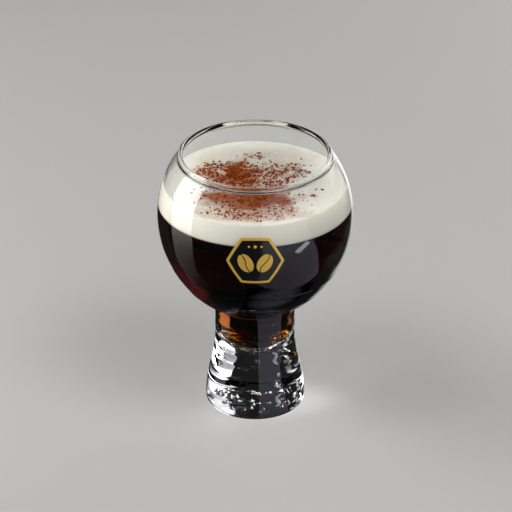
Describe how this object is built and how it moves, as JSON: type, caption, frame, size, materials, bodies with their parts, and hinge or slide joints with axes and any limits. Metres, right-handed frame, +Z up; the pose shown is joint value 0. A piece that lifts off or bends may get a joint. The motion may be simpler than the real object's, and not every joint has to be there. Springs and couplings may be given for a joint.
{
  "type": "spanish coffee",
  "caption": "Spanish coffee: dark coffee under a floated cream layer dusted with cocoa flakes, in a balloon glass whose wide bowl stands on a thick solid glass foot.",
  "frame": {"origin": "centre of the foot's underside, at the level it rests on", "axes": "+Z up along the glass's axis; -Y is the side that faces the viewer in the picture, with the print"},
  "size_m": [0.095, 0.095, 0.1352],
  "materials": {
    "glass": "clear, polished",
    "coffee": "liquid, near black, red-brown where thin",
    "cream": "soft, slightly glossy",
    "cocoa": "dry flakes",
    "print_gold": "satin print",
    "print_dark": "matt print"
  },
  "bodies": {
    "root": {"glass": "glass", "coffee": "coffee", "cream": "cream"}
  },
  "joints": []
}
